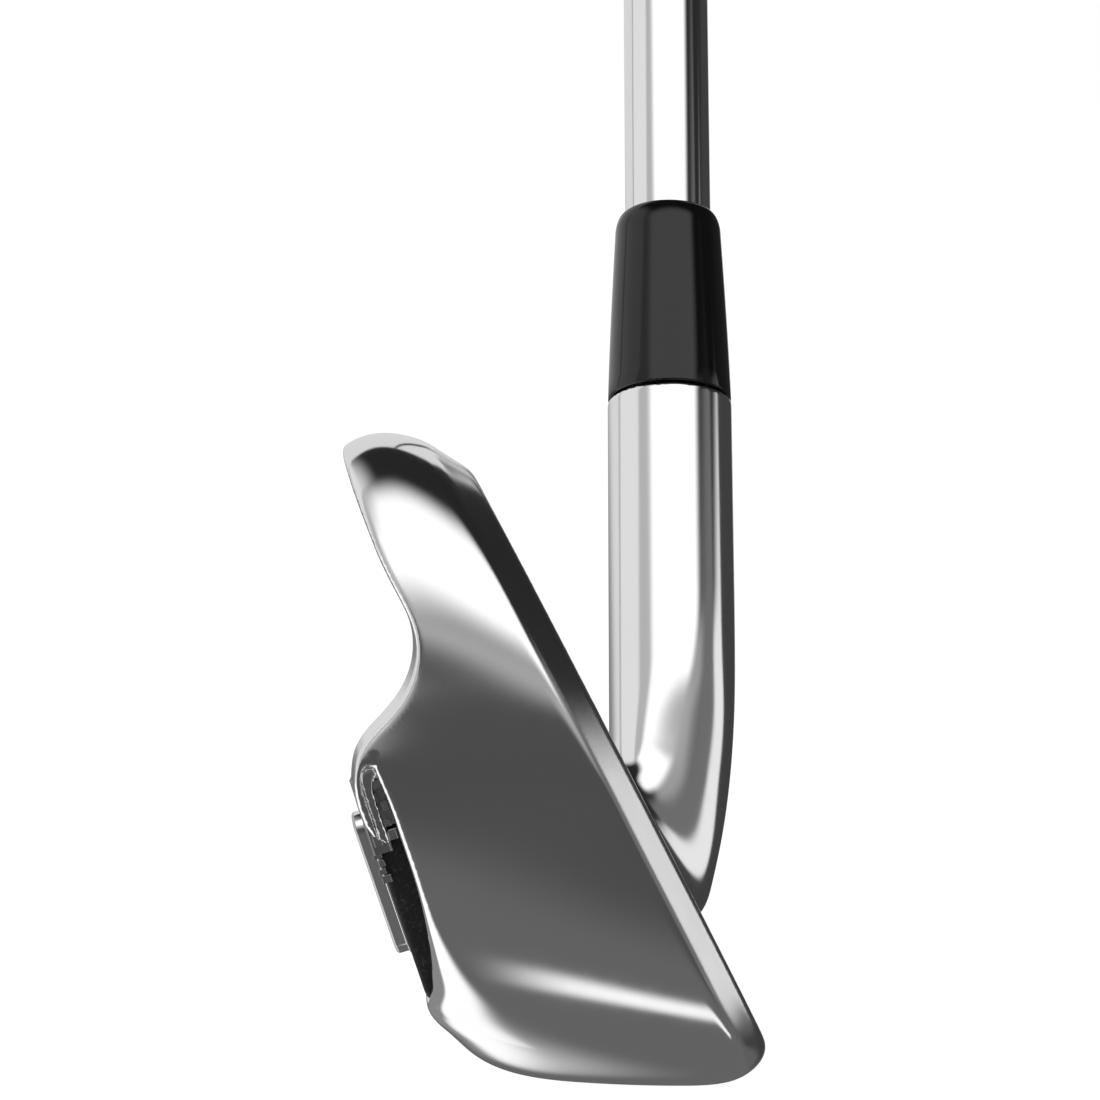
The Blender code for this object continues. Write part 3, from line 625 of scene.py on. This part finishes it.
def make_studio():
    """A plain white room with a large softbox over the camera, a dark ceiling and a dark wall on the target side. The
    camera sees it plain white; all other rays see its shapes."""
    world = bpy.data.worlds.new("studio")
    bpy.context.scene.world = world
    world.use_nodes = True
    tree = world.node_tree
    tree.nodes.clear()
    source = node(tree, "ShaderNodeTexCoord")
    split = node(tree, "ShaderNodeSeparateXYZ")
    tree.links.new(source.outputs["Generated"], split.inputs[0])
    X, Y, Z = split.outputs

    def math(op, a, b=None, c=None):
        made = node(tree, "ShaderNodeMath", operation=op)
        for i, value in enumerate((a, b, c)):
            if value is None:
                continue
            if isinstance(value, (int, float)):
                made.inputs[i].default_value = value
            else:
                tree.links.new(value, made.inputs[i])
        return made.outputs[0]

    deg = 180 / pi
    minus_y = math("MULTIPLY", Y, -1.0)
    azimuth = math("MULTIPLY", math("ARCTAN2", X, minus_y), deg)      # 0 at the camera, + to the target
    elevation = math("MULTIPLY", math("ARCSINE", math("MINIMUM", math("MAXIMUM", Z, -1.0), 1.0)), deg)
    over = math("MULTIPLY", math("ARCTAN2", Z, minus_y), deg)         # 0 at the camera, 90 overhead, 180 far side
    side = math("MULTIPLY", math("ARCSINE", math("MINIMUM", math("MAXIMUM", X, -1.0), 1.0)), deg)
    # cosine of the angle to the low fill light, on the left and a little beyond the object
    fill = math("MULTIPLY_ADD", Z, -0.61, math("MULTIPLY_ADD", X, -0.75, math("MULTIPLY", minus_y, -0.25)))
    named = {"az": azimuth, "el": elevation, "over": over, "side": side, "fill": fill}

    def window(axis, low, low_soft, high, high_soft):
        made = None
        for start, soft, rising in ((low, low_soft, True), (high, high_soft, False)):
            if start is None:
                continue
            n = node(tree, "ShaderNodeMapRange", interpolation_type="SMOOTHERSTEP")
            n.inputs["From Min"].default_value = start - soft / 2
            n.inputs["From Max"].default_value = start + soft / 2
            n.inputs["To Min"].default_value = 0.0 if rising else 1.0
            n.inputs["To Max"].default_value = 1.0 if rising else 0.0
            tree.links.new(named[axis], n.inputs["Value"])
            made = n.outputs["Result"] if made is None else math("MULTIPLY", made, n.outputs["Result"])
        return made

    value = None

    def paint(tone, *windows, amount=1.0):
        nonlocal value
        mask = None
        for w in windows:
            m = window(*w)
            mask = m if mask is None else math("MULTIPLY", mask, m)
        if amount != 1.0:
            mask = math("MULTIPLY", mask, amount)
        level = lin(tone) / 0.93 if tone <= 1 else tone
        # value + (level - value) * mask
        gap = math("SUBTRACT", level, value)
        value = math("MULTIPLY_ADD", gap, mask, value)

    value = lin(0.83) / 0.93
    paint(0.38, ("el", None, 0, -6, 16))                                    # lower half of the room
    paint(0.86, ("az", -119, 3, -80, 8), ("el", -12, 8, 50, 20))            # left wall
    paint(0.69, ("az", -80, 8, -56, 4), ("el", 0, 20, 60, 20))              # its near edge
    paint(0.66, ("az", -124, 2, -120, 2), ("el", -12, 8, 26, 14))           # seam in the left wall
    paint(0.24, ("az", 101, 6, 156, 5), ("el", -30, 14, 26, 8))             # dark wall, target side
    paint(0.16, ("az", 50, 24, 146, 4), ("el", 19, 12, 80, 10))             # and above it
    paint(0.42, ("az", 56, 22, 84, 8), ("el", -8, 10, 34, 16))
    paint(0.14, ("over", 50, 9, 124, 5), ("side", -38, 26, 47, 20))         # dark ceiling
    paint(0.29, ("az", -52, 16, 62, 16), ("el", -20, 26, 14, 18))           # front, level with the camera
    paint(0.60, ("az", -52, 16, 62, 16), ("el", 14, 18, 32, 14))
    paint(1.15, ("over", 28, 18, 72, 30), ("side", -42, 18, 39, 16))        # softbox over the camera
    paint(1.05, ("az", -2, 26, 62, 12), ("el", -51, 6, -44, 7))             # low strip under the camera
    paint(0.52, ("az", -172, 14, -112, 14), ("el", -84, 12, -8, 14))        # low, beyond the object
    paint(1.15, ("az", -118, 18, -20, 30), ("el", None, 0, -8, 20), ("fill", 0.635, 0.3, None, 0))    # low fill
    paint(1.00, ("fill", 0.635, 0.3, None, 0), ("el", None, 0, -52, 22))    # and under it
    paint(0.90, ("az", 85, 9, 101, 6), ("el", -7, 12, 18, 16))              # slot of light, target side

    back = node(tree, "ShaderNodeBackground")
    back.inputs["Color"].default_value = (1, 1, 1, 1)
    tree.links.new(value, back.inputs["Strength"])
    plain = node(tree, "ShaderNodeBackground")
    plain.inputs["Color"].default_value = (1, 1, 1, 1)
    plain.inputs["Strength"].default_value = 1.0
    rays = node(tree, "ShaderNodeLightPath")
    mix = node(tree, "ShaderNodeMixShader")
    tree.links.new(rays.outputs["Is Camera Ray"], mix.inputs[0])
    tree.links.new(back.outputs[0], mix.inputs[1])
    tree.links.new(plain.outputs[0], mix.inputs[2])
    out = node(tree, "ShaderNodeOutputWorld")
    tree.links.new(mix.outputs[0], out.inputs[0])


def make_floor():
    mesh = bpy.data.meshes.new("floor")
    r, z = 6.0, -0.0006
    mesh.from_pydata([(-r, -r, z), (r, -r, z), (r, r, z), (-r, r, z)], [], [(0, 1, 2, 3)])
    floor = bpy.data.objects.new("floor", mesh)
    bpy.context.scene.collection.objects.link(floor)
    mat, tree, bsdf = tree_material("pale_floor", 0.0, 0.9, (0.25, 0.25, 0.25))
    bsdf.inputs["Emission Color"].default_value = (1, 1, 1, 1)
    bsdf.inputs["Emission Strength"].default_value = 0.93
    mesh.materials.append(mat)
    floor.visible_glossy = False


def cut(obj, cutter):
    """Exact difference, applied at once; the cutter goes."""
    change = obj.modifiers.new("cut", "BOOLEAN")
    change.operation, change.solver, change.object = "DIFFERENCE", "EXACT", cutter
    graph = bpy.context.evaluated_depsgraph_get()
    graph.update()
    mesh = bpy.data.meshes.new_from_object(obj.evaluated_get(graph))
    obj.modifiers.remove(change)
    old = obj.data
    obj.data = mesh
    bpy.data.meshes.remove(old)
    spare = cutter.data
    bpy.data.objects.remove(cutter)
    bpy.data.meshes.remove(spare)
    mesh.set_sharp_from_angle(angle=radians(28))
    return obj


def grooves(lines, at, axes):
    """Cutter for the score lines: sloped sides, a flat floor and rounded ends."""
    half, depth, over = 0.45, 0.45, 0.3
    verts, faces = [], []
    for toe, heel, up in lines:
        first = len(verts)
        ring = []
        for centre, start in ((heel, -90), (toe, 90)):
            for k in range(9):
                a = radians(start + 180 * k / 8)
                ring.append((centre, cos(a), sin(a)))
        for level, width in ((-depth, half - 0.24), (0.0, half), (over, half + 0.16)):
            for centre, c, d in ring:
                verts.append(at + axes[0] * (centre + c * width) + axes[1] * (up + d * width) + axes[2] * level)
        n = len(ring)
        faces += [tuple(first + k for k in range(n))[::-1], tuple(first + k for k in range(2 * n, 3 * n))]
        for level in (0, 1):
            for i in range(n):
                j = (i + 1) % n
                low, high = first + level * n, first + (level + 1) * n
                faces.append((low + i, low + j, high + j, high + i))
    return outward(new_object("cutter", verts, faces, []))


def blocks(name, boxes, mats):
    """Several bevelled blocks in one mesh. Each box is a centre, half sizes,
    a 3x3 set of axes and a material index."""
    bm = bmesh.new()
    for centre, half, axes, mat in boxes:
        made = bmesh.ops.create_cube(bm, size=2.0)["verts"]
        for v in made:
            local = np.array(v.co) * np.array(half)
            v.co = Vector((np.array(centre) + local[0] * axes[0] + local[1] * axes[1] + local[2] * axes[2]) * MM)
        edges = list({e for v in made for e in v.link_edges})
        for f in {f for v in made for f in v.link_faces}:
            f.material_index = mat
        bmesh.ops.bevel(bm, geom=edges, offset=min(half) * 0.35 * MM, segments=2, profile=0.6, affect="EDGES")
    bmesh.ops.recalc_face_normals(bm, faces=bm.faces)
    mesh = bpy.data.meshes.new(name)
    bm.to_mesh(mesh)
    bm.free()
    for mat in mats:
        mesh.materials.append(mat)
    mesh.shade_smooth()
    mesh.set_sharp_from_angle(angle=radians(35))
    obj = bpy.data.objects.new(name, mesh)
    bpy.context.scene.collection.objects.link(obj)
    return obj


def make_relief(grey, bright):
    """The badge's toe end: a grey plate under the lip with plain raised ribs."""
    axes = (REAR_N, -REAR_ALONG, REAR_UP)
    boxes = []

    def at(along, up, n):
        return REAR_POINT + REAR_ALONG * along + REAR_UP * up + REAR_N * n

    boxes.append((at(-25.6, 10.8, -0.9), (0.8, 0.5, 2.2), axes, 0))
    boxes.append((at(-25.55, 9.7, 0.5), (0.7, 0.5, 3.3), axes, 0))
    for up, n, half_n, half_up in ((12.2, -0.7, 0.42, 0.26), (11.2, 0.1, 0.5, 0.22), (10.2, -0.9, 0.3, 0.34),
                                   (10.0, 0.4, 0.36, 0.3), (8.7, -0.3, 0.62, 0.2), (7.6, -0.8, 0.3, 0.3), (7.5, 0.6, 0.3, 0.42)):
        boxes.append((at(-26.2, up, n), (half_n, 0.32, half_up), axes, 1))
    for i in range(9):
        up = 9.6 - 0.72 * i
        boxes.append((at(-25.2, up, 1.0 + (0.16 if i % 2 else 0.0)), (0.2 + 0.07 * (i % 3), 0.22, 0.16 + 0.06 * ((i + 1) % 2)), axes, 1))
    piece = blocks("badge_toe_end", boxes, [grey, bright])
    place(piece, ["rear_badge"])


def make_grip_end():
    """Grip, cap and the band under the mouth."""
    rubber, tree, bsdf = tree_material("grip_rubber", 0.0, 0.62, (0.018, 0.018, 0.019), ior=1.45)
    at = coords(tree)
    fine = noise(tree, at, 1.6, 4.0, 0.65)
    tree.links.new(tint(tree, fine, (0.014, 0.014, 0.015), (0.024, 0.024, 0.026)), bsdf.inputs["Base Color"])
    tree.links.new(ramp(tree, fine, 0.55, 0.72, 0.3, 0.7), bsdf.inputs["Roughness"])
    bump(tree, bsdf, noise(tree, at, 6.0, 3.0, 0.6), 0.3, 0.05)

    top = CLUB_LENGTH - GRIP_CAP_T - 0.3
    grow = (SHAFT_BUTT_D - SHAFT_TIP_D) / 2 / STEP_COUNT
    inside = SHAFT_BUTT_D / 2 + 0.9

    def outer(s):
        t = (s - GRIP_MOUTH_S) / (CLUB_LENGTH - GRIP_CAP_T - GRIP_MOUTH_S)
        return GRIP_MOUTH_D / 2 + (GRIP_BUTT_D - GRIP_MOUTH_D) / 2 * max(t, 0.0) ** 1.15

    stations = [GRIP_MOUTH_S + 1.2 + (top - 1.0 - GRIP_MOUTH_S - 1.2) * i / 520 for i in range((520) + 1)]

    def pattern(s, r, a):
        if s < GRIP_MOUTH_S + 1.1 or s > top - 0.9 or r < outer(s) - 0.4:
            return r
        depth = 0.0
        # plain bands at the mouth, the middle and the butt part the pattern
        free = all(abs(s - mark) > wide for mark, wide in ((GRIP_MOUTH_S, 9.0), (812.0, 5.0), (top, 9.0)))
        if free:
            u = a / (2 * pi) * 18
            v = (s - GRIP_MOUTH_S) / 4.6
            for k in (u + v, u - v):
                off = abs(k - round(k)) / 0.16
                if off < 1:
                    depth = max(depth, 0.24 * (1 - off * off) ** 2)
        for mark in (GRIP_MOUTH_S + 9.0, 807.0, 817.0, top - 9.0):
            off = abs(s - mark) / 0.7
            if off < 1:
                depth = max(depth, 0.3 * (1 - off * off))
        return r - depth

    mouth = outer(GRIP_MOUTH_S + 1.2)
    profile = [(GRIP_MOUTH_S, inside), (GRIP_MOUTH_S, mouth - 1.1)]
    profile += [(GRIP_MOUTH_S + 1.1 - 1.1 * cos(radians(k * 18)), mouth - 1.1 + 1.1 * sin(radians(k * 18))) for k in range(1, 6)]
    profile += [(s, outer(s)) for s in stations]
    last = outer(stations[-1])
    profile += [(top - 0.7 + 0.7 * sin(radians(k * 22.5)), last - 0.7 + 0.7 * cos(radians(k * 22.5))) for k in range(1, 5)]
    profile += [(top, inside)]
    grip = lathe("grip_sleeve", profile, [rubber], sides=144, smooth_angle=60, radius_of=pattern)
    place(grip, ["grip"])

    base, end = top + 0.3, CLUB_LENGTH
    r = GRIP_BUTT_D / 2
    vent = 1.6
    profile = [(base - 3.4, vent), (base - 3.4, SHAFT_BUTT_D / 2 - 1.0), (base, SHAFT_BUTT_D / 2 - 1.0), (base, r - 0.5)]
    profile += [(base + 0.5 - 0.5 * cos(radians(k * 22.5)), r - 0.5 + 0.5 * sin(radians(k * 22.5))) for k in range(1, 5)]
    profile += [(base + 1.6, r)]
    profile += [(end - 2.2 + 2.2 * sin(radians(k * 11.25)), r - 2.2 + 2.2 * cos(radians(k * 11.25))) for k in range(1, 9)]
    profile += [(end, 9.4), (end - 0.35, 9.1), (end - 0.35, 8.3), (end, 8.0), (end, vent + 0.5), (end - 0.4, vent + 0.1), (end - 0.8, vent)]
    cap = lathe("butt_cap", profile, [rubber], sides=144, smooth_angle=40)
    place(cap, ["grip_cap"])

    film, tree, bsdf = tree_material("band_film", 0.0, 0.34, (0.06, 0.06, 0.064), coat=0.3)
    tree.links.new(tint(tree, noise(tree, coords(tree), 0.6), (0.05, 0.05, 0.054), (0.07, 0.07, 0.075)), bsdf.inputs["Base Color"])
    grey, tree, bsdf = tree_material("band_grey", 0.0, 0.34, (0.45, 0.45, 0.46), coat=0.3)
    tree.links.new(tint(tree, noise(tree, coords(tree), 0.6), (0.40, 0.40, 0.41), (0.50, 0.50, 0.51)), bsdf.inputs["Base Color"])
    low, r = GRIP_MOUTH_S - 62.0, SHAFT_BUTT_D / 2 - grow
    inner_r, outer_r = r + 0.25, r + 0.55
    profile = [(low, inner_r), (low, outer_r - 0.06), (low + 0.06, outer_r), (low + 2.2, outer_r), (low + 3.0, outer_r),
               (low + 13.0, outer_r), (low + 13.8, outer_r), (low + 15.94, outer_r), (low + 16.0, outer_r - 0.06), (low + 16.0, inner_r)]
    band = lathe("band_ring", profile, [film, grey], sides=128, smooth_angle=40, bands=[0, 0, 0, 0, 1, 0, 1, 0, 0, 0])
    place(band, ["shaft_band"])


def dress_inner_parts(nodes):
    """Inner pieces keep their CAD shape and take better materials."""
    looks = {
        "cavity_damper": ("damper_elastomer", 0.0, 0.7, (0.05, 0.05, 0.055), (0.035, 0.035, 0.04), 0.9),
        "toe_weight": ("sintered_tungsten", 1.0, 0.42, (0.36, 0.36, 0.37), (0.28, 0.28, 0.29), 1.4),
        "hosel_epoxy": ("cured_epoxy", 0.0, 0.35, (0.42, 0.40, 0.33), (0.34, 0.32, 0.26), 0.7),
        "tip_weight": ("turned_brass", 1.0, 0.3, (0.72, 0.53, 0.25), (0.60, 0.43, 0.19), 1.0),
        "tip_plug": ("cork", 0.0, 0.85, (0.55, 0.40, 0.25), (0.38, 0.26, 0.15), 0.8),
        "grip_tape": ("paper_tape", 0.0, 0.8, (0.72, 0.70, 0.62), (0.62, 0.60, 0.52), 0.9),
    }
    for name, (label, metallic, rough, light, dark, scale) in looks.items():
        obj = bpy.data.objects.get(name) or nodes.get(name)
        if isinstance(obj, str):
            obj = bpy.data.objects[obj]
        mat, tree, bsdf = tree_material(label, metallic, rough, light)
        at = coords(tree)
        tree.links.new(tint(tree, noise(tree, at, scale, 4.0, 0.6), dark, light), bsdf.inputs["Base Color"])
        bump(tree, bsdf, noise(tree, at, scale * 4, 3.0), 0.25, 0.05)
        for slot in obj.material_slots:
            slot.material = mat


def main():
    scene = bpy.context.scene
    scene.view_settings.view_transform = "Standard"
    scene.view_settings.look = "None"
    make_camera()
    make_studio()
    make_floor()
    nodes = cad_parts

    chrome = metal("polished_chrome", (0.95, 0.95, 0.955), (0.92, 0.92, 0.93), 0.085, 0.115)
    shaft_chrome = metal("shaft_chrome", (0.94, 0.94, 0.945), (0.92, 0.92, 0.925), 0.05, 0.075)
    satin_chrome = metal("satin_chrome", (0.86, 0.86, 0.865), (0.82, 0.82, 0.83), 0.15, 0.19, 0.10, 5.0, (1, 1, 0.35))
    matte_chrome = metal("blasted_cavity", (0.72, 0.72, 0.73), (0.69, 0.69, 0.70), 0.27, 0.31, 0.06, 6.0)
    satin = metal("blasted_face", (0.70, 0.70, 0.71), (0.63, 0.63, 0.64), 0.30, 0.40, 0.25, 5.0)

    # --- head
    size = 0.33
    verts, quads, normals = surface(head_field, (-42.5, -74.0, -1.5), (9.0, 35.0, 60.5), size)
    mid = verts[quads].mean(1)
    w = (mid[:, 0] - FACE_X) * FACE_N[0] + mid[:, 2] * FACE_N[2]
    wall = wall_field(*mid.T, w)
    chamfer = (wall + w + 2.35) * 0.7071
    hosel = mid @ AXIS > 22
    on_chamfer = (chamfer > wall + 0.25) & (chamfer > w - 0.12) & (w > -3.2) & (mid[:, 1] < -15) & (mid @ AXIS < 30)
    on_face = (w > -0.09) & (wall < -2.75) & (mid[:, 2] > 3.2) & ~hosel & (mid[:, 1] < -9)
    in_cavity = (w < -3.4) & (wall < -2.4) & (rear_field(*mid.T) < -1.2) & (mid[:, 1] < -14)
    ids = np.zeros(len(quads), int)
    ids[on_chamfer] = 1
    ids[on_face] = 2
    ids[in_cavity] = 3
    head = new_object("head", verts, quads, [chrome, satin_chrome, satin, matte_chrome], normals=normals, ids=ids)
    place(head, ["head_body"])

    # --- face plate with score lines
    outline = []
    for i in range(300):
        a = 2 * pi * i / 300
        near, far = 0.0, 60.0
        c = np.array((-42.0, 29.0))
        d = np.array((cos(a), sin(a)))
        for _ in range(30):
            m = (near + far) / 2
            p = c + d * m
            if face_outline_field(np.array(p[0]), np.array(p[1])) + 0.15 < 0:
                near = m
            else:
                far = m
        outline.append(tuple(c + d * near))
    face_axes = (np.array((0, 1.0, 0)), FACE_UP, FACE_N)
    face_at = np.array((FACE_X, 0.0, 0.0))
    face = plate("face", outline, face_at, face_axes, -FACE_PLATE_T, 0.0, [satin], edge=0.12, steps=3)
    lines = []
    for i in range(SCORE_COUNT):
        toe = -58.0 if i < 2 else -62.0
        heel = -16.5 - (5.6 * (i - 5) if i > 5 else 0.0)
        lines.append((toe, heel, 10.5 + SCORE_PITCH * i))
    cut(face, grooves(lines, face_at, face_axes))
    place(face, ["face_plate"])

    # --- insert, badge, its inlay and the film that holds them
    black_grain, tree, bsdf = tree_material("black_grain", 0.0, 0.62, (0.010, 0.010, 0.011), ior=1.4)
    at = coords(tree)
    grain = noise(tree, at, 3.2, 2.0, 0.7)
    tree.links.new(tint(tree, ramp(tree, grain, 0.0, 1.0, 0.55, 0.75), (0.006, 0.006, 0.006), (0.035, 0.035, 0.036)),
                   bsdf.inputs["Base Color"])
    bump(tree, bsdf, grain, 0.5, 0.06)
    verts, quads, normals = surface(insert_field, (-42.0, -69.5, 4.0), (-24.0, -11.0, 31.0), 0.26)
    insert = new_object("insert", verts, quads, [black_grain], normals=normals)
    place(insert, ["rear_insert"])

    nickel = metal("bright_nickel", (0.93, 0.93, 0.935), (0.88, 0.88, 0.89), 0.08, 0.14)
    nickel_satin = metal("satin_nickel", (0.66, 0.66, 0.67), (0.60, 0.60, 0.61), 0.26, 0.36, 0.15, 4.0)
    anodised = metal("dark_anodised", (0.11, 0.11, 0.115), (0.08, 0.08, 0.085), 0.28, 0.36)
    rear_ax = (REAR_ALONG, REAR_UP, REAR_N)
    badge_shape = rounded([(-24.2, 10.4, 1.6), (-22.3, -3.4, 1.2), (19.4, -6.0, 1.6), (20.9, -2.6, 1.2)], 8)
    badge = plate("badge", badge_shape, REAR_POINT, rear_ax, 1.35, 2.6, [nickel_satin, nickel], edge=0.28, side_mat=1, steps=4)
    inlay_shape = rounded([(-20.8, 7.0, 1.2), (-19.8, -0.4, 1.0), (-8.6, -1.3, 1.0), (-8.8, 2.6, 1.0)], 8)
    recess = [tuple(q) for q in shrink(inlay_shape, -0.16)]
    cut(badge, plate("cutter", recess, REAR_POINT, rear_ax, 1.95, 3.6, [nickel], edge=0.05, steps=1))
    # a plain bar, a long groove and a short one give the badge its relief
    for shape in ([(-6.0, -3.0, 0.3), (-6.0, -3.7, 0.3), (16.6, -4.6, 0.3), (16.9, -4.0, 0.3)],
                  [(-6.2, 1.6, 0.28), (-6.2, 0.95, 0.28), (10.0, -1.1, 0.28), (10.0, -0.5, 0.28)],
                  [(-18.6, -2.4, 0.3), (-18.6, -3.2, 0.3), (-9.0, -3.4, 0.3), (-9.0, -2.7, 0.3)]):
        cut(badge, plate("cutter", rounded(shape, 4), REAR_POINT, rear_ax, 2.3, 3.6, [nickel], edge=0.05, steps=1))
    place(badge, ["rear_badge"])
    rim_shape = [tuple(q) for q in shrink(badge_shape, -0.22)]
    rim = plate("badge_rim", rim_shape, REAR_POINT, rear_ax, 1.22, 1.5, [nickel], edge=0.14, steps=3)
    cut(rim, plate("cutter", [tuple(q) for q in shrink(badge_shape, 0.06)], REAR_POINT, rear_ax, 1.0, 1.8, [nickel], edge=0.05, steps=1))
    place(rim, ["rear_badge"])
    inlay = plate("inlay", inlay_shape, REAR_POINT, rear_ax, 2.0, 2.45, [anodised], edge=0.1, steps=2)
    place(inlay, ["badge_inlay"])
    film, tree, bsdf = tree_material("adhesive_film", 0.0, 0.55, (0.42, 0.40, 0.33))
    tree.links.new(tint(tree, noise(tree, coords(tree), 0.8), (0.36, 0.34, 0.28), (0.45, 0.43, 0.36)), bsdf.inputs["Base Color"])
    film_shape = rounded([(-21.4, 7.0, 1.5), (-20.0, -4.2, 1.5), (20.4, -4.6, 1.4), (21.2, -2.6, 0.9)], 6)
    adhesive = plate("adhesive", film_shape, REAR_POINT, rear_ax, -1.1, -0.8, [film], edge=0.08, steps=2)
    place(adhesive, ["badge_adhesive"])
    make_relief(nickel_satin, nickel)

    # --- ferrule
    gloss, tree, bsdf = tree_material("black_gloss", 0.0, 0.06, (0.006, 0.006, 0.0065))
    s0, s1 = HOSEL_TOP + 0.3, HOSEL_TOP + 0.3 + FERRULE_LENGTH
    hole = SHAFT_TIP_D / 2 + 0.1
    profile = [(s0, hole), (s0, HOSEL_R - 0.25)] + arc(s0 + 0.2, HOSEL_R - 0.25, 0.2, 180, 90, 4)[1:]
    for i in range(1, 13):
        t = i / 12
        profile.append((s0 + 0.2 + (FERRULE_LENGTH - 2.6) * t, HOSEL_R - 0.05 - (HOSEL_R - 0.05 - FERRULE_TOP_D / 2) * t**1.25))
    last_s, last_r = profile[-1]
    for i in range(1, 9):
        a = pi / 2 * i / 8
        profile.append((last_s + (s1 - last_s) * sin(a), hole + 0.05 + (last_r - hole - 0.05) * cos(a)))
    profile.append((s1 - 0.1, hole))
    ferrule = lathe("ferrule_ring", profile, [gloss], sides=160, smooth_angle=50)
    place(ferrule, ["ferrule"])

    # --- shaft with its steps
    r = SHAFT_TIP_D / 2
    grow = (SHAFT_BUTT_D - SHAFT_TIP_D) / 2 / STEP_COUNT
    profile = [(33.5, r - 0.5), (33.5, r - 0.2), (33.7, r)]
    for s in np.linspace(60, FIRST_STEP_S, 8):
        profile.append((float(s), r))
    for i in range(STEP_COUNT):
        s = FIRST_STEP_S + STEP_PITCH * i
        for k in range(1, 5):
            t = k / 4
            profile.append((s + 1.4 * t, r + grow * t * t * (3 - 2 * t)))
        r += grow
        profile.append((s + (STEP_PITCH if i < STEP_COUNT - 1 else 40.0), r))
    profile += [(CLUB_LENGTH - GRIP_CAP_T - 1.0, r), (CLUB_LENGTH - GRIP_CAP_T - 1.0, r - 0.5)]
    inner = [(s, max(rr - 0.5, 3.8)) for s, rr in profile[-3:2:-1]]
    shaft = lathe("shaft_tube", profile + inner, [shaft_chrome], sides=128, smooth_angle=25)
    place(shaft, ["shaft"])

    make_grip_end()
    dress_inner_parts(nodes)


main()
